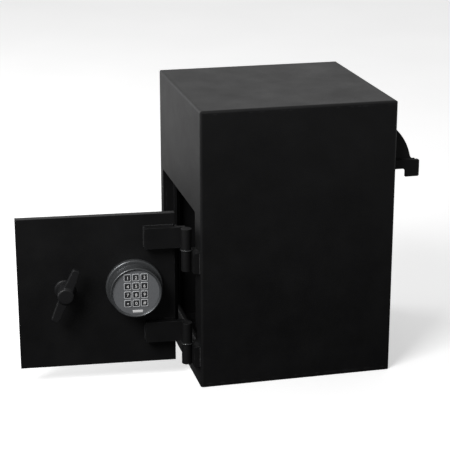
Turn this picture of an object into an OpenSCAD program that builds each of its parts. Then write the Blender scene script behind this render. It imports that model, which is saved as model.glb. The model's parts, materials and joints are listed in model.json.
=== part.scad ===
// Parcel drop box: a welded plate cabinet with a keypad door at the front
// and a lift-up rotary hopper at the rear.
// Origin: centre of the underside. +Z up, -Y the door, +Y the hopper. Millimetres.

/* [View] */
// which piece to build; "all" builds the whole box

/* [Cabinet] */
// width, side plate to side plate
body_w = 355.6; // [280:1:500]
// depth, front plate to rear plate
body_d = 355.6; // [280:1:500]
// height, underside to top
body_h = 508; // [423:1:700]
// thickness of the welded plates
plate_t = 6.35; // [4:0.05:10]
// radius ground on the outside edges
edge_r = 5; // [1:0.5:6]
// spacing of the four floor anchors, both ways
anchor_pitch = 254; // [150:1:300]
// diameter of the anchor holes
anchor_d = 12.7; // [8:0.1:20]

/* [Door opening] */
// width of front plate on the bolt side of the opening
jamb_bolt_w = 25.4; // [20:0.1:50]
// width of front plate on the hinge side of the opening
jamb_hinge_w = 44.45; // [35:0.05:70]
// height of the sill under the opening
sill_h = 31.75; // [20:0.05:60]
// height of the opening
opening_h = 285.75; // [240:0.05:360]
// radius of the opening's corners
opening_r = 3; // [1:0.5:6]
// depth of the flat bars that line the opening behind the front plate
liner_d = 25.4; // [20:0.1:40]
// thickness of those bars
liner_t = 6.35; // [4:0.05:10]
// how far the stop bars stand into the opening
stop_w = 6.35; // [4:0.05:8]

/* [Door] */
// thickness of the door plate
door_t = 12.7; // [8:0.1:20]
// how far the door sits back from the front plate
door_recess = 6.35; // [2:0.05:10]
// gap all round the door
door_gap = 3.175; // [2:0.005:5]
// how far the door stands open at rest, degrees
door_open = 85.5; // [0:0.5:170]
// thickness of the stop bars
stop_t = 6.35; // [4:0.05:8]
// gap between the shut door and the stop bars
stop_gap = 0.75; // [0.5:0.05:2]

/* [Hinges] */
// hinge pin centre, sideways from the edge of the opening
hinge_side = 14.15; // [10:0.05:25]
// hinge pin centre, out from the front plate
hinge_out = 19.05; // [14:0.05:25]
// diameter of the knuckles
knuckle_d = 19.05; // [14:0.05:25]
// length of each knuckle
knuckle_h = 38.1; // [20:0.1:50]
// thickness of the steel washer between knuckles
washer_t = 1.6; // [1:0.1:4]
// diameter of that washer
washer_d = 22.2; // [18:0.1:26]
// diameter of the hinge pins
pin_d = 10; // [6:0.1:14]
// radial play of the pins in the door's knuckles
pin_play = 0.06; // [0.02:0.01:0.1]
// thickness of the hinge leaves
leaf_t = 9.5; // [6:0.1:12]
// how far a leaf's face is let into its knuckle
leaf_in = 1.5; // [1:0.1:3]
// how far the straps reach over the door from the pin
strap_reach = 72.5; // [50:0.5:90]
// underside of the lower washer above the opening's sill
low_hinge_rise = 44.45; // [40:0.05:60]
// underside of the upper washer above the lower one
hinge_pitch = 176.5; // [120:0.5:220]

/* [Keypad] */
// diameter of the mounting ring
ring_d = 101.6; // [90:0.1:120]
// thickness of the mounting ring
ring_h = 9; // [6:0.5:12]
// diameter of the keypad body
pad_d = 91.6; // [80:0.1:100]
// how far the keypad stands off the door
pad_h = 38; // [34:0.5:45]
// diameter of the round face
face_d = 82.4; // [76:0.1:90]
// depth of the face below the rim
face_sink = 3.5; // [2:0.1:6]
// thickness of the face
face_t = 3; // [2:0.1:5]
// width of a key
key_w = 9.4; // [8:0.1:10]
// height of a key
key_l = 10; // [8:0.1:11]
// spacing of the key columns
key_px = 14.75; // [13.5:0.05:16]
// spacing of the key rows
key_pz = 16; // [14:0.1:16.5]
// middle of the keys above the keypad's centre
key_rise = 4; // [0:0.1:6]
// how far a key stands above the face
key_up = 1.4; // [1.3:0.1:3]
// how far a key presses in
key_travel = 1.2; // [0.8:0.1:1.3]
// gap between a key and its window
key_gap = 0.35; // [0.3:0.05:0.6]

/* [Handle and bolts] */
// height of the handle and keypad centres above the sill
lock_rise = 149.75; // [120:0.05:180]
// handle's centre from the door's bolt-side edge
handle_in = 82.5; // [78:0.5:100]
// keypad's centre from the door's hinge-side edge
pad_in = 73.5; // [66:0.5:90]
// least gap between the handle's rose and the keypad's ring
rose_gap = 3; // [2:0.5:20]
// diameter of the rose under the handle
rose_d = 37; // [30:0.5:44]
// length of the handle bar
bar_l = 101; // [80:1:120]
// width of the bar at its ends
bar_w = 13.5; // [10:0.5:20]
// thickness of the bar
bar_t = 11; // [8:0.5:16]
// tilt of the bar at rest, top towards the hinges, degrees
bar_tilt = 24; // [0:0.5:40]
// diameter of the handle hub
hub_d = 29; // [22:0.5:36]
// how far the handle stands off the door
hub_h = 40; // [34:0.5:50]
// diameter of the handle's spindle
spindle_d = 12.7; // [10:0.1:16]
// radial play of the spindle in the door
spindle_play = 0.08; // [0.02:0.01:0.1]
// centre of the spindle to centre of the crank pin
crank_r = 27; // [22:0.5:30]
// degrees the handle turns to throw the bolts
handle_turn = 60; // [50:1:70]
// diameter of the crank pin
crank_pin_d = 10; // [8:0.5:12]
// gap each side of the crank pin in its slot
slot_gap = 0.6; // [0.5:0.05:1]
// diameter of the three bolts
bolt_d = 19.05; // [12:0.05:22]
// spacing of the three bolts
bolt_pitch = 102; // [80:1:110]
// thickness of the bolt carriage
carriage_t = 6.35; // [4:0.05:8]

/* [Hopper] */
// outside diameter of the drum
drum_d = 196; // [170:1:210]
// hopper pivot, in from the rear plate's outer face
pivot_in = 60; // [54:0.5:70]
// hopper pivot below the top of the cabinet
pivot_drop = 129.5; // [115:0.5:150]
// thickness of the hopper's sheet
sheet_t = 3.4; // [2.5:0.1:5]
// gap from a drum end to the cabinet's side plate
drum_side = 21.5; // [18:0.1:30]
// thickness of the handle plate
lift_t = 16; // [10:0.5:20]
// top of the handle plate above the pivot
lift_top = 12.5; // [10:0.5:16]
// how far the handle reaches out from the rear plate
lift_out = 51.5; // [48:0.5:60]
// thickness of the two hooked arms outside the drum's ends
arm_t = 6.35; // [4:0.05:8]
// top of the arms above the pivot
arm_top = 14.5; // [13:0.5:18]
// depth of the arms, top to underside
arm_d = 16; // [12:0.5:20]
// length of the hooks, front to back
hook_l = 25.5; // [24:0.5:30]
// height of the hooks
hook_h = 31; // [28:0.5:36]
// radius in the corner between an arm and its hook
hook_r = 6; // [2:0.5:8]
// diameter of the grip bar between the hooks
grip_d = 16; // [14:0.5:20]
// radius of the flare from a drum end into the top of its arm
flare_r = 9; // [4:0.5:12]
// where the drum's sheet ends, degrees round from the rear
drum_end = 250; // [230:1:256]
// diameter of the pivot stubs
stub_d = 19; // [14:0.5:24]
// radial play of the stubs in their bushes
stub_play = 0.06; // [0.02:0.01:0.1]
// gap between the handle plate and the lip of its opening
lip_gap = 3; // [2:0.1:5]
// how far the toothed strip reaches in over the drum
comb_out = 16; // [12:0.5:22]
// gap between its teeth and the drum
comb_gap = 2; // [1:0.1:4]

/* [Hidden] */
$fn = 64;
e = 0.01;
in_x = body_w/2 - plate_t;
in_y = body_d/2 - plate_t;
top_z = body_h - plate_t;
// the opening in the front plate
op_x0 = -body_w/2 + jamb_bolt_w;
op_x1 = body_w/2 - jamb_hinge_w;
op_z0 = sill_h;
op_z1 = sill_h + opening_h;
liner_y0 = -in_y;
liner_y1 = liner_y0 + liner_d;
// the door, shut
dr_x0 = op_x0 + door_gap;
dr_x1 = op_x1 - door_gap;
dr_z0 = op_z0 + door_gap;
dr_z1 = op_z1 - door_gap;
dr_out = -body_d/2 + door_recess;
dr_in = dr_out + door_t;
dr_w = dr_x1 - dr_x0;
// the hinge pins
hx = op_x1 + hinge_side;
hy = -body_d/2 - hinge_out;
wash_z0 = op_z0 + low_hinge_rise;
wash_z1 = wash_z0 + hinge_pitch;
leaf_front = hy + knuckle_d/2 - leaf_in;
// handle, keypad and bolt work
lock_z = op_z0 + lock_rise;
pad_x = dr_x1 - pad_in;
han_x = min(dr_x0 + handle_in, pad_x - ring_d/2 - rose_gap - rose_d/2);
bush_y = dr_in + 3;
crank_t = 6;
crank_y = bush_y + 0.3;
car_y = crank_y + crank_t + 0.6;
car_y1 = car_y + carriage_t;
crank_a = handle_turn/2;
throw = 2*crank_r*sin(crank_a);
pin_x = han_x + crank_r*sin(crank_a);
nut_r = bolt_d*0.485;
bolt_y = max(liner_y1 + 0.85 + bolt_d/2, car_y1 + nut_r + 0.4);
// a bolt's tip just clears the stop bar as the door swings
swing_r = norm([op_x0 + stop_w - hx, dr_in + stop_gap - hy]) - 0.8;
tip_x = hx - sqrt(pow(swing_r, 2) - pow(bolt_y + bolt_d/2 - hy, 2));
flange_x = han_x - crank_r - 8.5;
car_z0 = lock_z - bolt_pitch - 18;
car_z1 = lock_z + bolt_pitch + 18;
lock_w = 61;
lock_l = 84;
lock_h = 26;
lock_x = pad_x - 14;
arm_z0 = lock_z + lock_l/2 + 0.8;
arm_h = 25;
// the lock's bolt and the ramp that pushes it in
latch_w = 15.8;
latch_out = 9;
latch_y = dr_in + 8;
latch_t = 10;
ramp = latch_out/throw;
guide_x = han_x + 36;
// hopper
py = body_d/2 - pivot_in;
pz = body_h - pivot_drop;
drum_r = drum_d/2;
drum_x = body_w/2 - plate_t - drum_side;
slot_z0 = pz + lift_top - lift_t - lip_gap;
slot_z1 = pz + sqrt(pow(drum_r + 1.5, 2) - pow(pivot_in - plate_t, 2));
slot_x = drum_x + arm_t + 1.2;
skin_a = asin(lift_top/(drum_r - sheet_t));
bearing_t = drum_side - 5;
lift_y0 = py + 47;
lift_y1 = body_d/2 + lift_out;
// centre of the flare, from the pivot
flare_at = [sqrt(pow(drum_r + flare_r, 2) - pow(arm_top + flare_r, 2)), arm_top + flare_r];
grip_y = lift_y1 - hook_l/2;
grip_z = pz + arm_top - hook_h + hook_l/2 + 4;
shelf_z = op_z1 + liner_t + 3;

// ---------- shared shapes ----------

// rounded rectangle from squares and circles, corner at the origin
module round_rect(w, h, r) {
  union() {
    translate([r, 0]) square([w - 2*r, h]);
    translate([0, r]) square([w, h - 2*r]);
    translate([r, r]) circle(r);
    translate([w - r, r]) circle(r);
    translate([r, h - r]) circle(r);
    translate([w - r, h - r]) circle(r);
  }
}

// upright slot with round ends, centred
module slot2(l, d) {
  union() {
    square([l, d], center = true);
    translate([-l/2, 0]) circle(d/2);
    translate([l/2, 0]) circle(d/2);
  }
}

// plate standing on edge: 2-D shape in X-Z, from y0 towards +Y
module upright(y0, t) {
  translate([0, y0 + t, 0]) rotate([90, 0, 0]) linear_extrude(t) children();
}

// plate facing sideways: 2-D shape in Y-Z, from x0 towards +X
module sideways(x0, t) {
  translate([x0, 0, 0]) rotate([90, 0, 90]) linear_extrude(t) children();
}

// rod along Y from y0 to y1 at x, z
module rod_y(x, z, y0, y1, d) {
  translate([x, y1, z]) rotate([90, 0, 0]) cylinder(d = d, h = y1 - y0);
}

// rod along X from x0 to x1 at y, z
module rod_x(y, z, x0, x1, d) {
  translate([x0, y, z]) rotate([0, 90, 0]) cylinder(d = d, h = x1 - x0);
}

// turned part about a Y axis at x, z; profile is [radius, distance out of the door]
module turned(x, z, profile) {
  translate([x, dr_out, z]) rotate([90, 0, 0]) rotate_extrude() polygon(profile);
}

// swings the door's parts from shut to where the door rests
module on_door() {
  translate([hx, hy, 0]) rotate([0, 0, door_open]) translate([-hx, -hy, 0]) children();
}

// ---------- cabinet ----------

// lid of the cabinet, all its outside edges rounded
module top_plate() {
  color("#2a2a2c") intersection() {
    translate([-body_w/2, -body_d/2, top_z])
      linear_extrude(plate_t) round_rect(body_w, body_d, edge_r);
    upright(-body_d/2 - 1, body_d + 2)
      translate([-body_w/2, top_z - 20]) round_rect(body_w, plate_t + 20, edge_r);
    sideways(-body_w/2 - 1, body_w + 2)
      translate([-body_d/2, top_z - 20]) round_rect(body_d, plate_t + 20, edge_r);
  }
}

// floor of the cabinet with four anchor holes
module base_plate() {
  color("#2a2a2c") difference() {
    translate([-body_w/2, -body_d/2, 0])
      linear_extrude(plate_t) round_rect(body_w, body_d, edge_r);
    for (x = [-1, 1], y = [-1, 1])
      translate([x*anchor_pitch/2, y*anchor_pitch/2, -1])
        cylinder(d = anchor_d, h = plate_t + 2);
  }
}

// 2-D section of the left wall, outside corners rounded
module wall_2d() {
  union() {
    translate([-body_w/2 + edge_r, -body_d/2]) square([plate_t - edge_r, body_d]);
    translate([-body_w/2, -body_d/2 + edge_r]) square([plate_t, body_d - 2*edge_r]);
    intersection() {
      translate([-body_w/2 + edge_r, -body_d/2 + edge_r]) circle(edge_r);
      translate([-body_w/2, -body_d/2]) square([edge_r, edge_r]);
    }
    intersection() {
      translate([-body_w/2 + edge_r, body_d/2 - edge_r]) circle(edge_r);
      translate([-body_w/2, body_d/2 - edge_r]) square([edge_r, edge_r]);
    }
  }
}

module side_plate_left() {
  color("#2a2a2c") translate([0, 0, plate_t]) linear_extrude(top_z - plate_t) wall_2d();
}

module side_plate_right() {
  color("#2a2a2c") mirror([1, 0, 0]) side_plate_left();
}

// rear wall with the hopper's opening
module rear_plate() {
  color("#2a2a2c") upright(in_y, plate_t) difference() {
    translate([-in_x, plate_t]) square([2*in_x, top_z - plate_t]);
    translate([-slot_x, slot_z0]) square([2*slot_x, slot_z1 - slot_z0]);
  }
}

// front wall with the door's opening
module front_plate() {
  color("#2a2a2c") upright(-body_d/2, plate_t) difference() {
    translate([-in_x, plate_t]) square([2*in_x, top_z - plate_t]);
    translate([op_x0, op_z0]) round_rect(op_x1 - op_x0, opening_h, opening_r);
  }
}

// four flat bars welded behind the front plate, lining the opening
module door_liner() {
  color("#262628") upright(liner_y0, liner_d) difference() {
    translate([op_x0 - liner_t, op_z0 - liner_t])
      square([op_x1 - op_x0 + 2*liner_t, opening_h + 2*liner_t]);
    translate([op_x0, op_z0]) round_rect(op_x1 - op_x0, opening_h, opening_r);
  }
}

// bars the shut door meets, on three sides
module door_stop() {
  color("#262628") upright(dr_in + stop_gap, stop_t) difference() {
    translate([op_x0, op_z0]) square([op_x1 - op_x0 - 14, opening_h]);
    translate([op_x0 + stop_w, op_z0 + stop_w])
      square([op_x1 - op_x0, opening_h - 2*stop_w]);
    translate([op_x0 - e, op_z0 - e]) square([opening_r, opening_r]);
    translate([op_x0 - e, op_z1 - opening_r + e]) square([opening_r, opening_r]);
  }
}

// ---------- hinges ----------

// cabinet half: leaf on the jamb and the lower knuckle
module hinge_leaf(z) {
  color("#232325") difference() {
    union() {
      translate([hx, hy, z - knuckle_h]) cylinder(d = knuckle_d, h = knuckle_h);
      translate([op_x1 + 2, leaf_front, z - knuckle_h])
        cube([jamb_hinge_w - 8, -body_d/2 - leaf_front, knuckle_h]);
    }
    translate([hx, hy, z - knuckle_h + 8]) cylinder(d = pin_d, h = knuckle_h);
  }
}

module hinge_leaf_upper() { hinge_leaf(wash_z1); }
module hinge_leaf_lower() { hinge_leaf(wash_z0); }

// steel pin pressed into the cabinet's knuckle
module hinge_pin(z) {
  color("#b8b8b8") translate([hx, hy, z - knuckle_h + 8])
    cylinder(d = pin_d, h = 2*knuckle_h + washer_t - 8 - 6);
}

module hinge_pin_upper() { hinge_pin(wash_z1); }
module hinge_pin_lower() { hinge_pin(wash_z0); }

// plated steel washer the door hangs on
module hinge_washer(z) {
  color("#b4b5b7") translate([hx, hy, z]) difference() {
    cylinder(d = washer_d, h = washer_t - 0.05);
    translate([0, 0, -1]) cylinder(d = pin_d + 2*pin_play, h = washer_t + 2);
  }
}

module hinge_washer_upper() { hinge_washer(wash_z1); }
module hinge_washer_lower() { hinge_washer(wash_z0); }

// spacer welded between the door and its strap
module hinge_block(z) {
  color("#232325") translate([hx - strap_reach, leaf_front + leaf_t, z + washer_t])
    cube([strap_reach - (hx - dr_x1) - 3, dr_out - leaf_front - leaf_t, knuckle_h]);
}

module hinge_block_upper() { on_door() hinge_block(wash_z1); }
module hinge_block_lower() { on_door() hinge_block(wash_z0); }

// door half: strap and the upper knuckle, bored blind from below
module hinge_strap(z) {
  color("#232325") difference() {
    union() {
      translate([hx, hy, z + washer_t]) cylinder(d = knuckle_d, h = knuckle_h);
      translate([hx - strap_reach, leaf_front, z + washer_t])
        cube([strap_reach, leaf_t, knuckle_h]);
    }
    translate([hx, hy, z + washer_t - 1])
      cylinder(d = pin_d + 2*pin_play, h = knuckle_h - 3);
  }
}

module hinge_strap_upper() { on_door() hinge_strap(wash_z1); }
module hinge_strap_lower() { on_door() hinge_strap(wash_z0); }

// ---------- door ----------

// screw spots shared by the door and the parts bolted to it
guide_pts = [
  [guide_x, lock_z - bolt_pitch + 4],
  [guide_x, lock_z + bolt_pitch - 4]
];

module door_plate() {
  color("#232325") on_door() difference() {
    upright(dr_out, door_t) translate([dr_x0, dr_z0]) square([dr_w, dr_z1 - dr_z0]);
    rod_y(han_x, lock_z, dr_out - 1, dr_in + 1, spindle_d + 2*spindle_play);
    rod_y(pad_x, lock_z, dr_out - 1, dr_in + 1, 12.7);
  }
}

// fixed bar that hooks behind the hinge-side liner when the door is shut
module dead_bar() {
  x1 = op_x1 + liner_t - 0.7;
  y1 = liner_y1 + 2.55;
  color("#3a3a3c") on_door() union() {
    translate([op_x1 - 25.4, dr_in, dr_z0 + 35]) cube([14, y1 - dr_in + 12.5, dr_z1 - dr_z0 - 70]);
    translate([op_x1 - 25.4, y1, dr_z0 + 35]) cube([x1 - op_x1 + 25.4, 12.5, dr_z1 - dr_z0 - 70]);
  }
}

// ---------- keypad ----------

// mounting ring screwed to the door
module keypad_ring() {
  r = ring_d/2;
  color("#8d8f92") on_door() turned(pad_x, lock_z, [
    [pad_d/2 - 12, 0], [r, 0], [r, ring_h - 2.5], [r - 0.7, ring_h - 0.8],
    [r - 2.2, ring_h], [pad_d/2 - 12, ring_h]
  ]);
}

// round body with a dished rim, hollow behind the face
module keypad_body() {
  r = pad_d/2;
  f = face_d/2 + 0.1;
  color("#8d8f92") on_door() turned(pad_x, lock_z, [
    [pad_d/2 - 12, ring_h], [r - 2.6, ring_h], [r - 2.6, ring_h + 2],
    [r, ring_h + 2.6], [r, pad_h - 1.6], [r - 0.5, pad_h - 0.4], [r - 1.5, pad_h],
    [f + 0.3, pad_h - face_sink + 0.6], [f, pad_h - face_sink],
    [f, pad_h - face_sink - face_t], [f - 1.2, pad_h - face_sink - face_t],
    [f - 1.2, ring_h + 4], [pad_d/2 - 12, ring_h + 4]
  ]);
}

function key_at(c, r) = [pad_x + (c - 1)*key_px, lock_z + key_rise + (1.5 - r)*key_pz];

// face disc with twelve windows, each with a raised surround
module keypad_face() {
  y1 = dr_out - pad_h + face_sink;
  color("#9b9da0") on_door() difference() {
    union() {
      rod_y(pad_x, lock_z, y1, y1 + face_t, face_d);
      for (c = [0:2], r = [0:3])
        upright(y1 - 0.6, 1) translate(key_at(c, r) - [key_w/2 + 1.6, key_l/2 + 1.6])
          round_rect(key_w + 3.2, key_l + 3.2, 1.4);
    }
    for (c = [0:2], r = [0:3])
      upright(y1 - 2, face_t + 4) translate(key_at(c, r) - [key_w/2 + key_gap, key_l/2 + key_gap])
        square([key_w + 2*key_gap, key_l + 2*key_gap]);
  }
}

// plain bright plate under the keys
module keypad_badge() {
  y1 = dr_out - pad_h + face_sink;
  color("#e8e8e8") on_door() upright(y1 - 0.8, 0.8)
    translate([pad_x + 2.5 - 9, lock_z - 37.6]) round_rect(18, 4.6, 1);
}

// one key: cap through the window and a lip behind the face
module key(c, r) {
  y1 = dr_out - pad_h + face_sink;
  color("#2c2d30") on_door() union() {
    upright(y1 - key_up, key_up + face_t + 0.4)
      translate(key_at(c, r) - [key_w/2, key_l/2]) round_rect(key_w, key_l, 0.8);
    upright(y1 + face_t + 0.3, 1.2)
      translate(key_at(c, r) - [key_w/2 + 0.7, key_l/2 + 0.7])
        round_rect(key_w + 1.4, key_l + 1.4, 0.8);
  }
}

module key_1() { key(0, 0); }
module key_2() { key(1, 0); }
module key_3() { key(2, 0); }
module key_4() { key(0, 1); }
module key_5() { key(1, 1); }
module key_6() { key(2, 1); }
module key_7() { key(0, 2); }
module key_8() { key(1, 2); }
module key_9() { key(2, 2); }
module key_star() { key(0, 3); }
module key_0() { key(1, 3); }
module key_hash() { key(2, 3); }

// tube that carries the keypad's wire through the door to the lock
module cable_tube() {
  color("#b8b8b8") on_door() difference() {
    rod_y(pad_x, lock_z, dr_out - ring_h - 2, dr_in, 12.7);
    rod_y(pad_x, lock_z, dr_out - ring_h - 3, dr_in + 1, 8.5);
  }
}

// ---------- lock and handle ----------

// closed case of the electronic lock, behind the door
module lock_case() {
  color("#7d7f82") on_door() difference() {
    upright(dr_in, lock_h) translate([lock_x - lock_w/2, lock_z - lock_l/2])
      round_rect(lock_w, lock_l, 3);
    for (p = lock_pts) rod_y(p[0], p[1], dr_in - 1, dr_in + lock_h + 1, 6.6);
    translate([lock_x - latch_w/2 - 0.3, latch_y - 0.3, lock_z + lock_l/2 - 22])
      cube([latch_w + 0.6, latch_t + 0.6, 24]);
  }
}

lock_pts = [
  [lock_x - lock_w/2 + 8, lock_z - lock_l/2 + 8],
  [lock_x + lock_w/2 - 8, lock_z - lock_l/2 + 8],
  [lock_x + lock_w/2 - 8, lock_z + lock_l/2 - 8]
];

// the lock's bolt, its sloped end against the carriage's ramp
module lock_bolt() {
  w = latch_w/2;
  z = arm_z0 - 0.35;
  color("#c9a86a") on_door() upright(latch_y, latch_t) polygon([
    [lock_x - w, lock_z + lock_l/2 - 21], [lock_x + w, lock_z + lock_l/2 - 21],
    [lock_x + w, z + 2*w*ramp], [lock_x - w, z]
  ]);
}

// three screws that hold the lock case
module lock_screws() {
  color("#c8c8c8") on_door() for (p = lock_pts) union() {
    rod_y(p[0], p[1], dr_in, dr_in + lock_h + 1, 6);
    rod_y(p[0], p[1], dr_in + lock_h, dr_in + lock_h + 4, 11);
  }
}

// round rose under the handle
module handle_rose() {
  i = spindle_d/2 + 0.4;
  color("#1d1d1f") on_door() turned(han_x, lock_z, [
    [i, 0], [rose_d/2, 0], [rose_d/2, 2], [rose_d/2 - 1, 3.6], [rose_d/2 - 3, 4.4], [i, 4.4]
  ]);
}

// flanged bush on the inside of the door
module handle_bush() {
  color("#a98a52") on_door() difference() {
    rod_y(han_x, lock_z, dr_in, bush_y, 26);
    rod_y(han_x, lock_z, dr_in - 1, bush_y + 1, spindle_d + 2*spindle_play);
  }
}

// hub, tapered bar and spindle in one piece
module t_handle() {
  color("#19191b") on_door() union() {
    turned(han_x, lock_z, [
      [0, 4.8], [hub_d/2 - 3, 4.8], [hub_d/2 - 3, 12], [hub_d/2, 17],
      [hub_d/2, hub_h - 2.5], [hub_d/2 - 0.8, hub_h - 0.7], [hub_d/2 - 2.6, hub_h], [0, hub_h]
    ]);
    translate([han_x, dr_out - hub_h + 3.4 + bar_t, lock_z]) rotate([90, bar_tilt, 0])
      linear_extrude(bar_t) bar_2d();
    rod_y(han_x, lock_z, dr_out - 5.5, crank_y + crank_t - 0.4, spindle_d);
  }
}

// outline of the bar: wider at the hub, round-cornered ends
module bar_2d() {
  a = bar_l/2;
  b = bar_w/2;
  polygon([
    [-b, -a + 2], [-b + 2, -a], [b - 2, -a], [b, -a + 2], [b + 2.2, -8], [b + 2.2, 8],
    [b, a - 2], [b - 2, a], [-b + 2, a], [-b, a - 2], [-b - 2.2, 8], [-b - 2.2, -8]
  ]);
}

// crank on the inner end of the spindle, with its drive pin
module handle_crank() {
  color("#6d6e70") on_door() translate([han_x, crank_y, lock_z]) rotate([0, crank_a, 0]) union() {
    difference() {
      upright(0, crank_t) union() {
        circle(13);
        translate([-9, 0]) square([18, crank_r]);
        translate([0, crank_r]) circle(9);
      }
      rod_y(0, 0, -1, crank_t - 0.4, spindle_d);
    }
    rod_y(0, crank_r, crank_t - 0.5, crank_t + 0.6 + carriage_t + 1.5, crank_pin_d);
  }
}

// sliding plate with its bolt flange and the arm over the lock
module bolt_carriage() {
  x1 = guide_x + throw + 12;
  color("#77797c") on_door() difference() {
    union() {
      upright(car_y, carriage_t)
        translate([flange_x, car_z0]) square([x1 - flange_x, car_z1 - car_z0]);
      upright(car_y, carriage_t)
        translate([x1 - 1, arm_z0]) square([lock_x + throw + latch_w/2 + 10 - x1 + 1, arm_h]);
      translate([flange_x, car_y, car_z0])
        cube([6.35, bolt_y + bolt_d/2 + 2 - car_y, car_z1 - car_z0]);
    }
    // slot the crank pin drives in
    upright(car_y - 1, carriage_t + 2)
      translate([pin_x, lock_z + crank_r*(1 + cos(crank_a))/2]) rotate(90)
        slot2(crank_r*(1 - cos(crank_a)) + 3, crank_pin_d + 2*slot_gap);
    // guide slots
    for (p = guide_pts)
      upright(car_y - 1, carriage_t + 2)
        translate([p[0] + throw/2, p[1]]) slot2(throw + 1, 10.8);
    // ramped notch for the lock's bolt
    upright(car_y - 1, carriage_t + 2) polygon([
      [lock_x - latch_w/2, arm_z0], [lock_x + throw + latch_w/2 + 0.5, arm_z0 + ramp*(throw + latch_w + 0.5)],
      [lock_x + throw + latch_w/2 + 0.5, arm_z0 - 1], [lock_x - latch_w/2, arm_z0 - 1]
    ]);
    // holes for the bolt tails
    for (k = [-1, 0, 1])
      rod_x(bolt_y, lock_z + k*bolt_pitch, flange_x - 1, flange_x + 8, 10);
    // relief round the lock and the middle of the plate
    upright(car_y - 1, carriage_t + 2)
      translate([han_x + 20, lock_z - 52]) square([x1 - han_x, arm_z0 - lock_z + 52]);
  }
}

// three round bolts with threaded tails
module locking_bolts() {
  color("#c4c5c7") on_door() for (k = [-1, 0, 1]) union() {
    rod_x(bolt_y, lock_z + k*bolt_pitch, tip_x + 2, flange_x, bolt_d);
    translate([tip_x, bolt_y, lock_z + k*bolt_pitch]) rotate([0, 90, 0])
      cylinder(d1 = bolt_d - 4, d2 = bolt_d, h = 2.01);
    rod_x(bolt_y, lock_z + k*bolt_pitch, flange_x - 0.5, flange_x + 17, 10);
  }
}

// one nut behind the flange on each bolt
module bolt_nuts() {
  color("#a9aaac") on_door() for (k = [-1, 0, 1])
    translate([flange_x + 6.35, bolt_y, lock_z + k*bolt_pitch]) rotate([0, 90, 0])
      difference() {
        cylinder(r = nut_r, h = 8, $fn = 6);
        translate([0, 0, -1]) cylinder(d = 10, h = 10);
      }
}

// sleeves that hold the carriage off the door
module carriage_spacers() {
  color("#a98a52") on_door() for (p = guide_pts) difference() {
    rod_y(p[0], p[1], dr_in, car_y - 0.3, 17);
    rod_y(p[0], p[1], dr_in - 1, car_y + 1, 10);
  }
}

// shoulder screws the carriage slides on
module carriage_screws() {
  color("#c8c8c8") on_door() for (p = guide_pts) union() {
    rod_y(p[0], p[1], dr_in, car_y1 + 0.5, 10);
    rod_y(p[0], p[1], car_y1 + 0.4, car_y1 + 5.5, 17);
  }
}

// ---------- hopper ----------

// 2-D pie slice from angle a to angle b, up to 270 degrees, about the origin
module pie(a, b, r) {
  s = (b - a)/6;
  polygon([[0, 0], for (i = [0:6]) 1.3*r*[cos(a + i*s), sin(a + i*s)]]);
}

// 2-D section of the drum, pivot at the origin, rear to the right
module drum_2d() {
  intersection() {
    difference() {
      circle(drum_r);
      circle(drum_r - sheet_t);
    }
    pie(skin_a, drum_end, drum_r);
  }
}

module at_pivot() {
  translate([0, py, pz]) children();
}

// rolled sheet of the drum
module hopper_drum() {
  color("#232325") at_pivot() sideways(-drum_x + sheet_t, 2*(drum_x - sheet_t)) drum_2d();
}

// end plate of the drum with a hub round the stub
module hopper_end(x) {
  color("#232325") at_pivot() sideways(x, sheet_t) difference() {
    union() {
      intersection() {
        circle(drum_r);
        pie(asin((lift_top - lift_t + 0.5)/drum_r), drum_end, drum_r);
      }
      circle(30);
      // flare that runs out along the arm
      difference() {
        polygon([
          flare_at*drum_r/(drum_r + flare_r), [drum_r - 12, lift_top], [flare_at[0], lift_top],
          [flare_at[0], arm_top]
        ]);
        translate(flare_at) circle(flare_r);
      }
    }
    circle(stub_d/2);
    // room for the grip bar
    translate([grip_y - py, grip_z - pz]) circle(grip_d/2 + 0.2);
  }
}

module hopper_end_left() { hopper_end(-drum_x); }
module hopper_end_right() { hopper_end(drum_x - sheet_t); }

// thick plate through the rear opening, between the drum's ends
module hopper_lift_plate() {
  w = drum_x - sheet_t;
  color("#232325") translate([-w, lift_y0, pz + lift_top - lift_t])
    cube([2*w, grip_y - grip_d/2 - 0.2 - lift_y0, lift_t]);
}

// outline of one arm: a flat bar whose outer end drops into a hook
module hook_2d() {
  z0 = arm_top - hook_h;
  drop = hook_h - arm_d;
  difference() {
    translate([lift_y0, pz + z0]) round_rect(lift_y1 - lift_y0, hook_h, 2.5);
    translate([lift_y0 - 1, pz + z0 - 1])
      square([lift_y1 - hook_l - hook_r - lift_y0 + 1, drop + 1]);
    translate([lift_y0 - 1, pz + z0 - 1])
      square([lift_y1 - hook_l - lift_y0 + 1, drop - hook_r + 1]);
    translate([lift_y1 - hook_l - hook_r, pz + z0 + drop - hook_r]) circle(hook_r);
  }
}

// two hooked arms, one outside each end of the drum, and the round bar between them
module hopper_grip() {
  color("#1d1d1f") union() {
    sideways(-drum_x - arm_t, arm_t) hook_2d();
    sideways(drum_x, arm_t) hook_2d();
    rod_x(grip_y, grip_z, -drum_x - 1, drum_x + 1, grip_d);
  }
}

// stub shafts fixed in the drum's ends
module hopper_stubs() {
  color("#b8b8b8") at_pivot() for (s = [-1, 1]) union() {
    rod_x(0, 0, s > 0 ? drum_x - 12 : -drum_x - drum_side + 1.5,
      s > 0 ? drum_x + drum_side - 1.5 : -drum_x + 12, stub_d);
  }
}

// bronze bushes in the bearing blocks
module hopper_bushes() {
  color("#a98a52") at_pivot() for (s = [0, 1]) mirror([s, 0, 0]) difference() {
    union() {
      rod_x(0, 0, in_x - bearing_t, in_x, stub_d + 6);
      rod_x(0, 0, in_x - bearing_t - 2.5, in_x - bearing_t, stub_d + 12);
    }
    rod_x(0, 0, in_x - bearing_t - 4, in_x + 1, stub_d + 2*stub_play);
  }
}

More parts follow.
